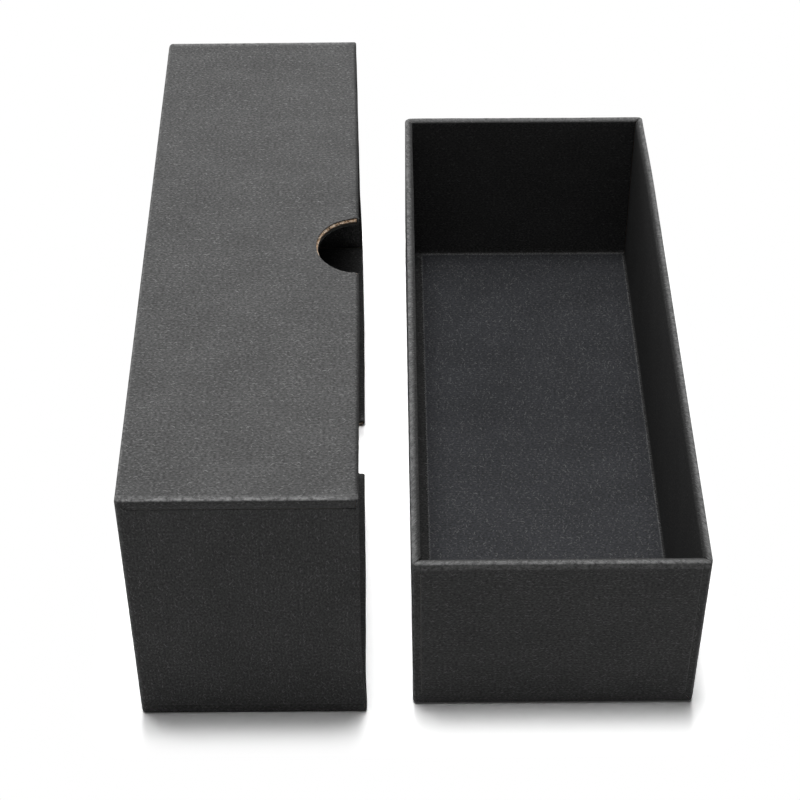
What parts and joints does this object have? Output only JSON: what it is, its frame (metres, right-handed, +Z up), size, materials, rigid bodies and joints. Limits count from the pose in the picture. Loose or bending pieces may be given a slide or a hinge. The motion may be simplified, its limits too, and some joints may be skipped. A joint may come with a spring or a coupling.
{
  "type": "glasses box",
  "caption": "Rigid board box for glasses wrapped in black paper: an open tray and a deep lift-off cover with half-round thumb notches in its long walls.",
  "frame": {"origin": "on the table, under the middle of the cover and the tray together", "axes": "+X points right, the way the mouth of the lying cover faces; +Y runs along both halves, away from the viewer; +Z is up"},
  "size_m": [0.1254, 0.165, 0.07],
  "materials": {
    "black_kraft_paper": "matt uncoated kraft with light fibres",
    "greyboard": "matt tan layered board",
    "stay_tape": "matt gummed kraft tape"
  },
  "bodies": {
    "tray": {"tray_far_left_corner_stay": "stay_tape", "tray_far_right_corner_stay": "stay_tape", "tray_far_wall_board": "greyboard", "tray_far_wall_turn_in": "black_kraft_paper", "tray_far_wall_wrap": "black_kraft_paper", "tray_floor_board": "greyboard", "tray_floor_liner": "black_kraft_paper", "tray_floor_wrap": "black_kraft_paper", "tray_left_wall_board": "greyboard", "tray_left_wall_turn_in": "black_kraft_paper", "tray_left_wall_wrap": "black_kraft_paper", "tray_near_left_corner_stay": "stay_tape", "tray_near_right_corner_stay": "stay_tape", "tray_near_wall_board": "greyboard", "tray_near_wall_turn_in": "black_kraft_paper", "tray_near_wall_wrap": "black_kraft_paper", "tray_right_wall_board": "greyboard", "tray_right_wall_turn_in": "black_kraft_paper", "tray_right_wall_wrap": "black_kraft_paper"},
    "cover": {"cover_far_lower_corner_stay": "stay_tape", "cover_far_upper_corner_stay": "stay_tape", "cover_far_wall_board": "greyboard", "cover_far_wall_turn_in": "black_kraft_paper", "cover_far_wall_wrap": "black_kraft_paper", "cover_lower_wall_board": "greyboard", "cover_lower_wall_turn_in": "black_kraft_paper", "cover_lower_wall_wrap": "black_kraft_paper", "cover_near_lower_corner_stay": "stay_tape", "cover_near_upper_corner_stay": "stay_tape", "cover_near_wall_board": "greyboard", "cover_near_wall_turn_in": "black_kraft_paper", "cover_near_wall_wrap": "black_kraft_paper", "cover_top_board": "greyboard", "cover_top_liner": "black_kraft_paper", "cover_top_wrap": "black_kraft_paper", "cover_upper_wall_board": "greyboard", "cover_upper_wall_turn_in": "black_kraft_paper", "cover_upper_wall_wrap": "black_kraft_paper"}
  },
  "joints": [
    {"name": "cover_turn", "type": "hinge", "parent": "tray", "child": "cover", "pos_m": [0.01575, 0, 0.02025], "axis": [0, 1, 0], "range_deg": [0, 90]}
  ]
}
